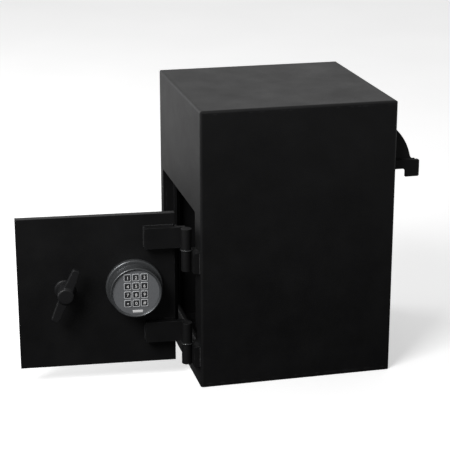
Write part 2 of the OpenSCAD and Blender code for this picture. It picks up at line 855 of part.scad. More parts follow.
// blocks welded to the side plates
module hopper_bearings() {
  color("#2a2a2c") at_pivot() for (s = [0, 1]) mirror([s, 0, 0]) difference() {
    translate([in_x - bearing_t, -27, -27]) cube([bearing_t, 54, 54]);
    rod_x(0, 0, in_x - bearing_t - 1, in_x + 1, stub_d + 6);
  }
}

// rubber pads the handle plate rests on
module hopper_pads() {
  color("#101012") for (s = [-1, 1])
    translate([s*(drum_x - 30) - 12, in_y + 0.4, slot_z0])
      cube([24, plate_t - 0.8, lip_gap - 0.1]);
}

// saw-toothed edge, teeth pointing to +Y from the origin line
module teeth_2d(w, n, h) {
  p = w/n;
  polygon([[0, -1], for (i = [0:n - 1]) each [[i*p, 0], [(i + 0.5)*p, h]], [w, 0], [w, -1]]);
}

// shelf in front of the drum that stops reaching up to the parcels
module inner_baffle() {
  y1 = py - sqrt(pow(drum_r + 3, 2) - pow(pz - shelf_z, 2));
  color("#262628") union() {
    translate([-in_x, -in_y, shelf_z]) cube([2*in_x, y1 - 9 + in_y, sheet_t]);
    translate([-in_x, y1 - 9 - e, shelf_z]) linear_extrude(sheet_t) teeth_2d(2*in_x, 20, 8);
    translate([-in_x, -in_y, shelf_z + e]) cube([2*in_x, sheet_t, 22]);
  }
}

// angle strip over the hopper's opening, its toothed lip close to the drum
module rear_comb() {
  y0 = in_y - sheet_t - comb_out;
  z0 = pz + sqrt(pow(drum_r + comb_gap, 2) - pow(y0 - py, 2));
  tooth = 6;
  color("#262628") union() {
    translate([-slot_x, in_y - sheet_t, z0]) cube([2*slot_x, sheet_t, 20]);
    translate([-slot_x, y0 + tooth, z0]) cube([2*slot_x, comb_out - tooth + e, sheet_t]);
    translate([slot_x, y0 + tooth + e, z0]) rotate([0, 0, 180])
      linear_extrude(sheet_t) teeth_2d(2*slot_x, 18, tooth);
  }
}

// ---------- the piece asked for ----------

top_plate();
base_plate();
side_plate_left();
side_plate_right();
rear_plate();
front_plate();
door_liner();
door_stop();
hinge_leaf_upper();
hinge_leaf_lower();
hinge_pin_upper();
hinge_pin_lower();
hinge_washer_upper();
hinge_washer_lower();
door_plate();
hinge_block_upper();
hinge_block_lower();
hinge_strap_upper();
hinge_strap_lower();
dead_bar();
keypad_ring();
keypad_body();
keypad_face();
keypad_badge();
key_1();
key_2();
key_3();
key_4();
key_5();
key_6();
key_7();
key_8();
key_9();
key_star();
key_0();
key_hash();
cable_tube();
lock_case();
lock_bolt();
lock_screws();
handle_rose();
handle_bush();
t_handle();
handle_crank();
bolt_carriage();
locking_bolts();
bolt_nuts();
carriage_spacers();
carriage_screws();
hopper_drum();
hopper_end_left();
hopper_end_right();
hopper_lift_plate();
hopper_grip();
hopper_stubs();
hopper_bushes();
hopper_bearings();
hopper_pads();
inner_baffle();
rear_comb();
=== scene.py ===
import json
import math

import bmesh
import bpy
from mathutils import Matrix, Vector

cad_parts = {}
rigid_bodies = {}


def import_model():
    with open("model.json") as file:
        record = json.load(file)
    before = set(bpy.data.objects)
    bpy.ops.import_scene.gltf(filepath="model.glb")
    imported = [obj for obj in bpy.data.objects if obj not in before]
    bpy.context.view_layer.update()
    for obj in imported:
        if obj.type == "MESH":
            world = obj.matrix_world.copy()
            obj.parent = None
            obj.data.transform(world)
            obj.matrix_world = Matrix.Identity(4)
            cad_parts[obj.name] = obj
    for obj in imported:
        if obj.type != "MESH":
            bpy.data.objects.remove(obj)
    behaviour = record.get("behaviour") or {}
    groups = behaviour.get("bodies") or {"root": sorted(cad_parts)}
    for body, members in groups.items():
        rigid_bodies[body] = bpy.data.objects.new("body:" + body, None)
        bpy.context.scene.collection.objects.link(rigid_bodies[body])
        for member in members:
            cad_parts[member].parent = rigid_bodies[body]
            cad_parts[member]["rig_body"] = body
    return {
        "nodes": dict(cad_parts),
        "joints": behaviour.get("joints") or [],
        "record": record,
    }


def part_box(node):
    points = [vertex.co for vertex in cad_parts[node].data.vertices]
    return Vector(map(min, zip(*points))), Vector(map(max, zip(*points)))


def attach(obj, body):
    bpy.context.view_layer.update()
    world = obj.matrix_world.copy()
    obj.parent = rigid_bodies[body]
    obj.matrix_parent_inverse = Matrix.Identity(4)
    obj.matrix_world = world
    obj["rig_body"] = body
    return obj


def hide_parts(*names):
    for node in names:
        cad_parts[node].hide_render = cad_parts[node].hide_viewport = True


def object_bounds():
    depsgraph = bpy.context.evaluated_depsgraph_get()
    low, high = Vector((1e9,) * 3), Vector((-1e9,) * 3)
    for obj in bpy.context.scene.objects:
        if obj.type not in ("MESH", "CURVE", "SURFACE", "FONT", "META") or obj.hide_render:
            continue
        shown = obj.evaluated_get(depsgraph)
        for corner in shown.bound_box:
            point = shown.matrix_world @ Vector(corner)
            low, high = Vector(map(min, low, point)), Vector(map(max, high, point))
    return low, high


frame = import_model()
cad_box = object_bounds()
mm = 0.001

# ---------------------------------------------------------------- cabinet plates
# Quarter-inch mild steel plate, sheared, edge-welded into a box and ground flush.
# The whole box is then blasted and sprayed with a fine-textured black powder coat,
# so that the seams between plates do not show on the outside.


def linear(hex_colour):
    """The linear RGBA of an sRGB hex colour."""
    shares = [int(hex_colour[i : i + 2], 16) / 255 for i in (1, 3, 5)]
    curve = [s / 12.92 if s <= 0.04045 else ((s + 0.055) / 1.055) ** 2.4 for s in shares]
    return (*curve, 1.0)


def add(tree, kind, inputs=(), **settings):
    """Adds a node, sets its properties, and gives its sockets values or links."""
    node = tree.nodes.new(kind)
    for name, value in settings.items():
        setattr(node, name, value)
    for socket, value in dict(inputs).items():
        if isinstance(value, bpy.types.NodeSocket):
            tree.links.new(value, node.inputs[socket])
        else:
            node.inputs[socket].default_value = value
    return node


def new_material(name):
    """An empty material, its node tree, and the Object coordinates in metres."""
    material = bpy.data.materials.new(name)
    material.use_nodes = True
    tree = material.node_tree
    tree.nodes.clear()
    return material, tree, add(tree, "ShaderNodeTexCoord").outputs["Object"]


def show(tree, shader):
    """Sends a shader to the material's output."""
    add(tree, "ShaderNodeOutputMaterial", {"Surface": shader.outputs[0]})


def rub_and_highlight_mask(tree, at, reach, patch):
    """1 along outside edges within reach, broken up into patches: where hands and parcels rub, and
    where the lighter edge colour paints in the highlight that rounded edges catch.
    """
    soft = add(tree, "ShaderNodeBevel", {"Radius": reach}, samples=4)
    flat = add(tree, "ShaderNodeNewGeometry")
    turn = add(
        tree,
        "ShaderNodeVectorMath",
        {0: soft.outputs[0], 1: flat.outputs["Normal"]},
        operation="DOT_PRODUCT",
    )
    edge = add(
        tree,
        "ShaderNodeMapRange",
        {"Value": turn.outputs["Value"], "From Min": 0.985, "From Max": 0.86},
    )
    blotch = add(tree, "ShaderNodeTexNoise", {"Vector": at, "Scale": 1 / patch, "Detail": 5.0})
    gap = add(
        tree,
        "ShaderNodeMapRange",
        {"Value": blotch.outputs["Fac"], "From Min": 0.5, "From Max": 0.66},
    )
    return add(
        tree, "ShaderNodeMath", {0: edge.outputs[0], 1: gap.outputs[0]}, operation="MULTIPLY"
    ).outputs[0]


def powder_coat(name, dark, light, roughness, peel, rub_and_highlight):
    """Polyester powder baked on steel: deep black with the pebbled skin of a textured coat.

    The pebbles are about 1 mm across on the real coat; peel draws them a little coarser,
    so that they show. The skin is a dull gloss, and rubbed edges are greyer: their lighter colour
    is worn paint and also a painted highlight along the rounded edges.
    """
    material, tree, at = new_material(name)
    pebbles = add(tree, "ShaderNodeTexVoronoi", {"Vector": at, "Scale": 1 / peel})
    grit = add(tree, "ShaderNodeTexNoise", {"Vector": at, "Scale": 2.2 / peel, "Detail": 3.0})
    skin = add(
        tree,
        "ShaderNodeMath",
        {0: pebbles.outputs["Distance"], 1: grit.outputs["Fac"]},
        operation="ADD",
    )
    bump = add(
        tree,
        "ShaderNodeBump",
        {"Height": skin.outputs[0], "Strength": 0.55, "Distance": 0.00018},
    )
    # the gun's passes leave the coat thicker and duller in bands some 70 mm wide
    bands = add(
        tree, "ShaderNodeTexNoise", {"Vector": at, "Scale": 14.0, "Detail": 4.0, "Roughness": 0.6}
    )
    rough = add(
        tree,
        "ShaderNodeMapRange",
        {
            "Value": bands.outputs["Fac"],
            "From Min": 0.3,
            "From Max": 0.7,
            "To Min": roughness - 0.05,
            "To Max": roughness + 0.05,
        },
    )
    colour = add(
        tree,
        "ShaderNodeMix",
        {0: bands.outputs["Fac"], 6: linear(dark), 7: linear(light)},
        data_type="RGBA",
    )
    # edges lighter in patches: rubbed paint, and a painted highlight along the rounded edges
    rubbed_and_lit = rub_and_highlight_mask(tree, at, 0.0022, 0.012)
    worn_and_lit = add(
        tree,
        "ShaderNodeMix",
        {0: rubbed_and_lit, 6: colour.outputs[2], 7: linear(rub_and_highlight)},
        data_type="RGBA",
    )
    shader = add(
        tree,
        "ShaderNodeBsdfPrincipled",
        {
            "Base Color": worn_and_lit.outputs[2],
            "Roughness": rough.outputs[0],
            "IOR": 1.5,
            "Normal": bump.outputs[0],
        },
    )
    show(tree, shader)
    return material


# the last colour is the lighter edge: rubbed paint and a painted edge highlight
black_coat = powder_coat("black_powder_coat", "#0d0d0e", "#151516", 0.48, 0.0016, "#333335")
cad = frame["nodes"]
slot_of = {part["node"]: part["material_slot"] for part in frame["record"]["subparts"]}


def paint(node, material):
    """Gives a CAD node, whose shape is right as it is, its finish."""
    cad[node].data.materials.clear()
    cad[node].data.materials.append(material)


def baked(piece):
    """Turns a piece's modifiers into plain mesh."""
    bpy.context.view_layer.update()
    depsgraph = bpy.context.evaluated_depsgraph_get()
    mesh = bpy.data.meshes.new_from_object(
        piece.evaluated_get(depsgraph), preserve_all_data_layers=True, depsgraph=depsgraph
    )
    piece.modifiers.clear()
    piece.data = mesh
    return piece


def new_piece(name, mesh, material):
    """An object for a mesh, in one material."""
    mesh.materials.clear()
    mesh.materials.append(material)
    piece = bpy.data.objects.new(name, mesh)
    bpy.context.scene.collection.objects.link(piece)
    return piece


def place(piece, body, slot, *nodes):
    """The piece moves with its body, and stands for the CAD nodes named."""
    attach(piece, body)
    if nodes:
        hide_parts(*nodes)
    return piece


def merged(node):
    """A bmesh of a CAD node with its loose triangles joined up into faces."""
    work = bmesh.new()
    work.from_mesh(cad[node].data)
    bmesh.ops.remove_doubles(work, verts=work.verts, dist=0.000002)
    bmesh.ops.dissolve_limit(
        work, angle_limit=math.radians(0.3), verts=work.verts, edges=work.edges
    )
    return work


def as_mesh(work, name):
    """The mesh of a bmesh, smooth between its sharp edges, without the CAD's stored normals."""
    for face in work.faces:
        face.smooth = True
    mesh = bpy.data.meshes.new(name)
    work.to_mesh(mesh)
    work.free()
    stale = mesh.attributes.get("custom_normal")
    if stale is not None:
        mesh.attributes.remove(stale)
    return mesh


def softened(node, radius, material, segments=3, near=None):
    """Stands in for a CAD node with its sharp edges rounded, as grinding and paint leave them.

    near is a (low, high) box; edges outside it stay as they are, because they are welded seams.
    """
    work = merged(node)
    weight = work.edges.layers.float.new("bevel_weight_edge")
    for edge in work.edges:
        if len(edge.link_faces) != 2 or edge.calc_face_angle(0) < math.radians(28):
            continue
        inside = near is None or all(
            near[0][i] <= v.co[i] <= near[1][i] for v in edge.verts for i in range(3)
        )
        edge[weight] = 1.0 if inside else 0.0
        edge.smooth = inside
    piece = new_piece(node + "_finished", as_mesh(work, node + "_finished"), material)
    bevel = piece.modifiers.new("edges", "BEVEL")
    bevel.limit_method = "WEIGHT"
    bevel.width = radius
    bevel.segments = segments
    bevel.harden_normals = True
    return place(baked(piece), cad[node]["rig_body"], slot_of[node], node)


for name in ("top_plate", "base_plate", "side_plate_left", "side_plate_right"):
    paint(name, black_coat)

wall = (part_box("front_plate")[1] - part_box("front_plate")[0]).y
liner_low, liner_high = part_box("door_liner")
opening_low = liner_low + Vector((wall / 2, -2 * wall, wall / 2))
opening_high = liner_high + Vector((-wall / 2, 0, -wall / 2))
softened("front_plate", 1.2 * mm, black_coat, near=(opening_low, opening_high))

drum_low, drum_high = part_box("hopper_drum")
rear_low, rear_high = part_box("rear_plate")
slot_near = (
    Vector((-rear_high.x * 0.95, rear_low.y - wall, drum_low.z)),
    Vector((rear_high.x * 0.95, rear_high.y + wall, drum_high.z)),
)
softened("rear_plate", 1.2 * mm, black_coat, near=slot_near)

# ---------------------------------------------------------------- opening, shelf and comb
# Flat bars line the door's opening and carry a narrow stop for the shut door.
# A folded shelf with saw teeth keeps an arm from reaching up into the hopper, and a
# toothed angle does the same over the drum. All are bare-edged sheet under the same coat.

for name in ("door_liner", "door_stop"):
    softened(name, 0.6 * mm, black_coat)
for name in ("inner_baffle", "rear_comb"):
    softened(name, 0.3 * mm, black_coat, segments=2)
softened("hopper_bearings", 1.0 * mm, black_coat)

# ---------------------------------------------------------------- weld beads
# Every joint inside the box and round the hinges is a hand-laid fillet weld.
# Each bead is a row of overlapping pools, one for each pause of the torch, painted over
# with the box, so it shows as a rippled cord along the joint.


def bead_tree(material):
    """Geometry nodes that lay weld pools along a path. Returns the tree and its inputs."""
    tree = bpy.data.node_groups.new("weld_bead", "GeometryNodeTree")
    ends = tree.interface
    ends.new_socket("Path", in_out="INPUT", socket_type="NodeSocketGeometry")
    sizes = {
        name: ends.new_socket(name, in_out="INPUT", socket_type="NodeSocketFloat").identifier
        for name in ("Bead radius", "Pool spacing")
    }
    ends.new_socket("Weld", in_out="OUTPUT", socket_type="NodeSocketGeometry")
    given = add(tree, "NodeGroupInput")
    curve = add(tree, "GeometryNodeMeshToCurve", {"Mesh": given.outputs["Path"]})
    pools = add(
        tree,
        "GeometryNodeResampleCurve",
        {"Curve": curve.outputs[0], "Length": given.outputs["Pool spacing"]},
        mode="LENGTH",
    )
    drop = add(
        tree,
        "GeometryNodeMeshUVSphere",
        {"Segments": 10, "Rings": 6, "Radius": given.outputs["Bead radius"]},
    )
    # a pool is flatter along the joint than across it
    squat = add(
        tree, "GeometryNodeTransform", {"Geometry": drop.outputs["Mesh"], "Scale": (1, 1, 0.62)}
    )
    along = add(
        tree,
        "FunctionNodeAlignRotationToVector",
        {"Vector": add(tree, "GeometryNodeInputTangent").outputs[0]},
        axis="Z",
    )
    uneven = add(
        tree,
        "FunctionNodeRandomValue",
        {"Min": (0.86,) * 3, "Max": (1.1,) * 3, "Seed": 7},
        data_type="FLOAT_VECTOR",
    )
    laid = add(
        tree,
        "GeometryNodeInstanceOnPoints",
        {
            "Points": pools.outputs[0],
            "Instance": squat.outputs[0],
            "Rotation": along.outputs[0],
            "Scale": uneven.outputs[0],
        },
    )
    real = add(tree, "GeometryNodeRealizeInstances", {"Geometry": laid.outputs[0]})
    smooth = add(tree, "GeometryNodeSetShadeSmooth", {"Geometry": real.outputs[0]})
    coated = add(
        tree, "GeometryNodeSetMaterial", {"Geometry": smooth.outputs[0], "Material": material}
    )
    add(tree, "NodeGroupOutput", {0: coated.outputs[0]})
    return tree, sizes


weld_tree, weld_sizes = bead_tree(black_coat)


def weld(name, body, paths, radius=2.2 * mm, turn=None):
    """Lays beads along paths, each a list of corners, and fixes them to a body."""
    mesh = bpy.data.meshes.new(name)
    points = [Vector(p) for path in paths for p in path]
    edges = []
    start = 0
    for path in paths:
        edges += [(start + i, start + i + 1) for i in range(len(path) - 1)]
        start += len(path)
    mesh.from_pydata(points, edges, [])
    piece = new_piece(name, mesh, black_coat)
    layer = piece.modifiers.new("weld", "NODES")
    layer.node_group = weld_tree
    layer[weld_sizes["Bead radius"]] = radius
    layer[weld_sizes["Pool spacing"]] = radius
    baked(piece)
    if turn is not None:
        piece.data.transform(turn)
    return place(piece, body, "black_paint")


def u_path(low, high, y):
    """Corners of a bead round three sides of an upright face, the top left open."""
    return [
        (low.x, y, high.z),
        (low.x, y, low.z),
        (high.x, y, low.z),
        (high.x, y, high.z),
    ]


front_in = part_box("front_plate")[1].y
weld("liner_weld", "cabinet", [u_path(liner_low, liner_high, front_in)])

block_low, block_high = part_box("hopper_bearings")
bearing_rings = [
    [
        (side, block_low.y, block_low.z),
        (side, block_high.y, block_low.z),
        (side, block_high.y, block_high.z),
        (side, block_low.y, block_high.z),
        (side, block_low.y, block_low.z),
    ]
    for side in (block_low.x, block_high.x)
]
weld("bearing_welds", "cabinet", bearing_rings)

# stitch welds, 35 mm long every 90 mm, up the inside corners of the box
stitch, stitch_pitch = 35 * mm, 90 * mm
corners = [
    (x, y)
    for x in (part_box("side_plate_left")[1].x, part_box("side_plate_right")[0].x)
    for y in (front_in, rear_low.y)
]
count = int((rear_high.z - rear_low.z) / stitch_pitch)
starts = [rear_low.z + 20 * mm + i * stitch_pitch for i in range(count)]
stitches = [[(x, y, z), (x, y, z + stitch)] for x, y in corners for z in starts]
weld("corner_welds", "cabinet", stitches)

# ---------------------------------------------------------------- hinges on the cabinet
# Each cabinet half is a flat leaf and a drilled round knuckle, welded to the jamb.
# A ground steel pin is pressed into the knuckle, and a zinc-plated steel washer takes
# the door's weight, which is the bright line between the knuckles.

for name in ("hinge_leaf_upper", "hinge_leaf_lower"):
    softened(name, 0.8 * mm, black_coat)
    leaf_low, leaf_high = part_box(name)
    jamb_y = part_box("front_plate")[0].y
    path = [
        (leaf_high.x, jamb_y, leaf_high.z - 2 * mm),
        (leaf_high.x, jamb_y, leaf_low.z),
        (leaf_low.x + 1.5 * mm, jamb_y, leaf_low.z),
    ]
    weld(name + "_weld", "cabinet", [path], radius=1.8 * mm)


def bare_metal(name, dark, light, roughness, streak, stretch, depth=0.00002):
    """Uncoated metal with fine tool lines.

    streak is the spacing of the lines, drawn coarser than the real tenth of a millimetre so
    that they show, and stretch squeezes them along one axis, the way the tool went round.
    """
    material, tree, at = new_material(name)
    along = add(tree, "ShaderNodeMapping", {"Vector": at, "Scale": stretch})
    lines = add(
        tree,
        "ShaderNodeTexNoise",
        {"Vector": along.outputs[0], "Scale": 1 / streak, "Detail": 3.0, "Roughness": 0.7},
    )
    stain = add(tree, "ShaderNodeTexNoise", {"Vector": at, "Scale": 90.0, "Detail": 4.0})
    colour = add(
        tree,
        "ShaderNodeMix",
        {0: stain.outputs["Fac"], 6: linear(dark), 7: linear(light)},
        data_type="RGBA",
    )
    rough = add(
        tree,
        "ShaderNodeMapRange",
        {
            "Value": lines.outputs["Fac"],
            "From Min": 0.3,
            "From Max": 0.7,
            "To Min": roughness - 0.08,
            "To Max": roughness + 0.1,
        },
    )
    bump = add(
        tree,
        "ShaderNodeBump",
        {"Height": lines.outputs["Fac"], "Strength": 0.5, "Distance": depth},
    )
    shader = add(
        tree,
        "ShaderNodeBsdfPrincipled",
        {
            "Base Color": colour.outputs[2],
            "Metallic": 1.0,
            "Roughness": rough.outputs[0],
            "Normal": bump.outputs[0],
        },
    )
    show(tree, shader)
    return material


# ground bar: light grey, fine rings round the pin
ground_steel = bare_metal("ground_steel_pin", "#a8a8a6", "#c4c4c2", 0.28, 0.0006, (0.2, 0.2, 1))
# electroplated zinc: bright and faintly blue, turning rings just showing through
plated_washer = bare_metal("zinc_plated_washer", "#b9bbbd", "#dfe0e1", 0.3, 0.0006, (0.2, 0.2, 1))
# free-cutting brass: dull gold with turning rings, browner where it has been handled
turned_brass = bare_metal("turned_brass", "#8f7440", "#c2a465", 0.34, 0.0006, (0.2, 0.2, 1))

for name in ("hinge_pin_upper", "hinge_pin_lower"):
    paint(name, ground_steel)
for name in ("hinge_washer_upper", "hinge_washer_lower"):
    softened(name, 0.25 * mm, plated_washer)
softened("hopper_bushes", 0.3 * mm, turned_brass)

# ---------------------------------------------------------------- door
# Half-inch plate, coated like the box, with its edges broken by a grinder.
# Two straps are welded to it on spacer blocks, and a bar behind its hinge edge hooks
# behind the liner, so that the door stays put even with its hinges cut off.

hinge = next(j for j in frame["joints"] if j["name"] == "door_hinge")
handle_joint = next(j for j in frame["joints"] if j["name"] == "handle_turn")
inward = Vector(handle_joint["axis"])
pin_axis = Vector(hinge["pos_m"])
door_turn = (
    Matrix.Translation(pin_axis)
    @ Matrix.Rotation(math.atan2(-inward.x, inward.y), 4, "Z")
    @ Matrix.Translation(-pin_axis)
)
shut = door_turn.inverted()


def box_of(points):
    """Lowest and highest corner of some points."""
    return (
        Vector([min(p[i] for p in points) for i in range(3)]),
        Vector([max(p[i] for p in points) for i in range(3)]),
    )


def shut_box(node):
    """The box of a node of the door, with the door turned back to shut and square."""
    return box_of([shut @ v.co for v in cad[node].data.vertices])


softened("door_plate", 1.3 * mm, black_coat)
softened("dead_bar", 1.0 * mm, black_coat)
door_low, door_high = shut_box("door_plate")
for name in ("upper", "lower"):
    softened("hinge_strap_" + name, 0.9 * mm, black_coat)
    softened("hinge_block_" + name, 0.5 * mm, black_coat)
    low, high = shut_box("hinge_block_" + name)
    around = [
        (high.x, door_low.y, high.z),
        (low.x, door_low.y, high.z),
        (low.x, door_low.y, low.z),
        (high.x, door_low.y, low.z),
    ]
    weld("strap_weld_" + name, "door", [around], radius=1.8 * mm, turn=door_turn)
bar_low, bar_high = shut_box("dead_bar")
weld(
    "dead_bar_welds",
    "door",
    [[(bar_low.x, door_high.y, bar_low.z), (bar_low.x, door_high.y, bar_high.z)]],
    turn=door_turn,
)

# ---------------------------------------------------------------- keypad housing
# A zinc die casting sprayed with grey metallic lacquer: a mounting ring against the
# door, and a round body that clips over it, with a dished rim round the face.


def sprayed_grey(name, dark, light, roughness, grain, metallic):
    """Metallic lacquer: fine flakes twinkle in a satin grey film with a slight orange peel."""
    material, tree, at = new_material(name)
    flakes = add(tree, "ShaderNodeTexVoronoi", {"Vector": at, "Scale": 1 / grain})
    peel = add(tree, "ShaderNodeTexNoise", {"Vector": at, "Scale": 0.35 / grain, "Detail": 3.0})
    twinkle = add(tree, "ShaderNodeRGBToBW", {"Color": flakes.outputs["Color"]})
    colour = add(
        tree,
        "ShaderNodeMix",
        {0: twinkle.outputs[0], 6: linear(dark), 7: linear(light)},
        data_type="RGBA",
    )
    rough = add(
        tree,
        "ShaderNodeMapRange",
        {"Value": twinkle.outputs[0], "To Min": roughness - 0.06, "To Max": roughness + 0.06},
    )
    bump = add(
        tree,
        "ShaderNodeBump",
        {"Height": peel.outputs["Fac"], "Strength": 0.35, "Distance": 0.00008},
    )
    shader = add(
        tree,
        "ShaderNodeBsdfPrincipled",
        {
            "Base Color": colour.outputs[2],
            "Metallic": metallic,
            "Roughness": rough.outputs[0],
            "Normal": bump.outputs[0],
        },
    )
    show(tree, shader)
    return material


lacquered_zinc = sprayed_grey("grey_lacquered_zinc", "#6a6c6e", "#7c7e80", 0.3, 0.0005, 0.7)


def with_arcs(corners, closed=False, steps=5):
    """An outline from (x, y, corner radius) triples, each rounded corner made an arc."""
    points = []
    n = len(corners)
    for i, (x, y, radius) in enumerate(corners):
        here = Vector((x, y))
        if radius == 0 or (not closed and i in (0, n - 1)):
            points.append(here)
            continue
        before = (Vector(corners[i - 1][:2]) - here).normalized()
        after = (Vector(corners[(i + 1) % n][:2]) - here).normalized()
        half = before.angle(after) / 2
        middle = here + (before + after).normalized() * (radius / math.sin(half))
        start = here + before * (radius / math.tan(half)) - middle
        sweep = start.angle_signed(here + after * (radius / math.tan(half)) - middle)
        for k in range(steps + 1):
            points.append(middle + Matrix.Rotation(-sweep * k / steps, 2) @ start)
    return points


def lathe(name, outline, centre, material, steps=128):
    """A turned piece: outline is (radius, y) points, closed, spun round the Y axis at centre."""
    work = bmesh.new()
    ring = [work.verts.new((p[0], p[1], 0)) for p in outline]
    for a, b in zip(ring, ring[1:] + ring[:1]):
        work.edges.new((a, b))
    bmesh.ops.spin(
        work,
        geom=work.verts[:] + work.edges[:],
        axis=(0, 1, 0),
        cent=(0, 0, 0),
        angle=2 * math.pi,
        steps=steps,
    )
    bmesh.ops.remove_doubles(work, verts=work.verts, dist=0.000001)
    bmesh.ops.recalc_face_normals(work, faces=work.faces)
    mesh = as_mesh(work, name)
    mesh.set_sharp_from_angle(angle=math.radians(40))
    mesh.transform(door_turn @ Matrix.Translation(centre))
    return new_piece(name, mesh, material)


ring_low, ring_high = shut_box("keypad_ring")
body_low, body_high = shut_box("keypad_body")
face_low, face_high = shut_box("keypad_face")
pad_centre = Vector(((ring_low.x + ring_high.x) / 2, 0, (ring_low.z + ring_high.z) / 2))
ring_r = (ring_high.x - ring_low.x) / 2
pad_r = (body_high.x - body_low.x) / 2
face_r = (face_high.x - face_low.x) / 2
bore_r = pad_r - 12 * mm

ring_outline = with_arcs(
    [
        (bore_r, ring_high.y, 0),
        (ring_r, ring_high.y, 0.4 * mm),
        (ring_r, ring_low.y, 2.4 * mm),
        (bore_r, ring_low.y, 0),
    ],
    closed=True,
)
place(
    lathe("keypad_ring_finished", ring_outline, pad_centre, lacquered_zinc),
    "door",
    "grey_diecast",
    "keypad_ring",
)

# the rim falls from its crest to the face, 3.5 mm below it, in a shallow dish
face_y = face_low.y + 0.6 * mm
groove = 2.6 * mm
body_outline = with_arcs(
    [
        (bore_r, body_high.y, 0),
        (pad_r - groove, body_high.y, 0),
        (pad_r - groove, body_high.y - 2 * mm, 0.3 * mm),
        (pad_r, body_high.y - 2.6 * mm, 0.6 * mm),
        (pad_r, body_low.y, 1.7 * mm),
        (face_r + 2.4 * mm, body_low.y, 1.2 * mm),
        (face_r + 0.1 * mm, face_y - 0.3 * mm, 0.25 * mm),
        (face_r + 0.1 * mm, face_high.y, 0),
        (face_r - 1.2 * mm, face_high.y, 0),
        (face_r - 1.2 * mm, body_high.y - 4 * mm, 0),
        (bore_r, body_high.y - 4 * mm, 0),
    ],
    closed=True,
)
place(
    lathe("keypad_body_finished", body_outline, pad_centre, lacquered_zinc),
    "door",
    "grey_diecast",
    "keypad_body",
)
satin_face = sprayed_grey("satin_grey_face", "#7e8083", "#939598", 0.45, 0.0005, 0.3)
softened("keypad_face", 0.25 * mm, satin_face, segments=2)

# ---------------------------------------------------------------- key surrounds
# Twelve raised frames moulded into the face, one round each key window, coloured pale grey: the
# pale colour paints in the highlight along them.
# They stand a millimetre proud, so their crests catch the light between the keys.

key_names = ["1", "2", "3", "4", "5", "6", "7", "8", "9", "star", "0", "hash"]
key_boxes = {name: shut_box("key_" + name) for name in key_names}
key_lip = 0.7 * mm
key_size = key_boxes["1"][1] - key_boxes["1"][0] - Vector((2 * key_lip, 0, 2 * key_lip))
grid_low, grid_high = box_of([sum(box, Vector()) / 2 for box in key_boxes.values()])


def surround_tree(material):
    """Geometry nodes for a grid of rounded frames. Returns the tree and its inputs."""
    tree = bpy.data.node_groups.new("key_surrounds", "GeometryNodeTree")
    ends = tree.interface
    names = ("Grid width", "Grid height", "Frame width", "Frame height", "Bead radius")
    sizes = {
        name: ends.new_socket(name, in_out="INPUT", socket_type="NodeSocketFloat").identifier
        for name in names
    }
    ends.new_socket("Frames", in_out="OUTPUT", socket_type="NodeSocketGeometry")
    given = add(tree, "NodeGroupInput").outputs
    centres = add(
        tree,
        "GeometryNodeMeshGrid",
        {
            "Size X": given["Grid width"],
            "Size Y": given["Grid height"],
            "Vertices X": 3,
            "Vertices Y": 4,
        },
    )
    square = add(
        tree,
        "GeometryNodeCurvePrimitiveQuadrilateral",
        {"Width": given["Frame width"], "Height": given["Frame height"]},
    )
    path = add(
        tree,
        "GeometryNodeFilletCurve",
        {"Curve": square.outputs[0], "Radius": 1.5 * mm, "Count": 5},
        mode="POLY",
    )
    section = add(
        tree,
        "GeometryNodeCurvePrimitiveCircle",
        {"Resolution": 10, "Radius": given["Bead radius"]},
    )
    swept = add(
        tree,
        "GeometryNodeCurveToMesh",
        {"Curve": path.outputs[0], "Profile Curve": section.outputs[0]},
    )
    frames = add(
        tree,
        "GeometryNodeInstanceOnPoints",
        {"Points": centres.outputs["Mesh"], "Instance": swept.outputs[0]},
    )
    real = add(tree, "GeometryNodeRealizeInstances", {"Geometry": frames.outputs[0]})
    smooth = add(tree, "GeometryNodeSetShadeSmooth", {"Geometry": real.outputs[0]})
    done = add(
        tree, "GeometryNodeSetMaterial", {"Geometry": smooth.outputs[0], "Material": material}
    )
    add(tree, "NodeGroupOutput", {0: done.outputs[0]})
    return tree, sizes


# the frames' pale grey is a painted highlight along the raised frames
surround_painted_highlight = sprayed_grey("surround_grey_painted_highlight", "#cfd1d3", "#e2e4e6", 0.45, 0.0005, 0.1)
frames = new_piece("key_surrounds", bpy.data.meshes.new("key_surrounds"), surround_painted_highlight)
layer = frames.modifiers.new("frames", "NODES")
layer.node_group, frame_sizes = surround_tree(surround_painted_highlight)
layer[frame_sizes["Grid width"]] = grid_high.x - grid_low.x
layer[frame_sizes["Grid height"]] = grid_high.z - grid_low.z
layer[frame_sizes["Frame width"]] = key_size.x + 2.2 * mm
layer[frame_sizes["Frame height"]] = key_size.z + 2.2 * mm
layer[frame_sizes["Bead radius"]] = 0.75 * mm
baked(frames)
upright = Matrix.Rotation(math.radians(90), 4, "X")
grid_centre = (grid_low + grid_high) / 2
on_face = Matrix.Translation((grid_centre.x, face_low.y + 0.15 * mm, grid_centre.z))
frames.data.transform(door_turn @ on_face @ upright)
place(frames, "door", "grey_face")

# ---------------------------------------------------------------- keys
# Twelve separate dark keys, moulded in ABS with a shallow finger dish, each with a
# plain numeral printed in white. A lip behind the face keeps the key in its window.


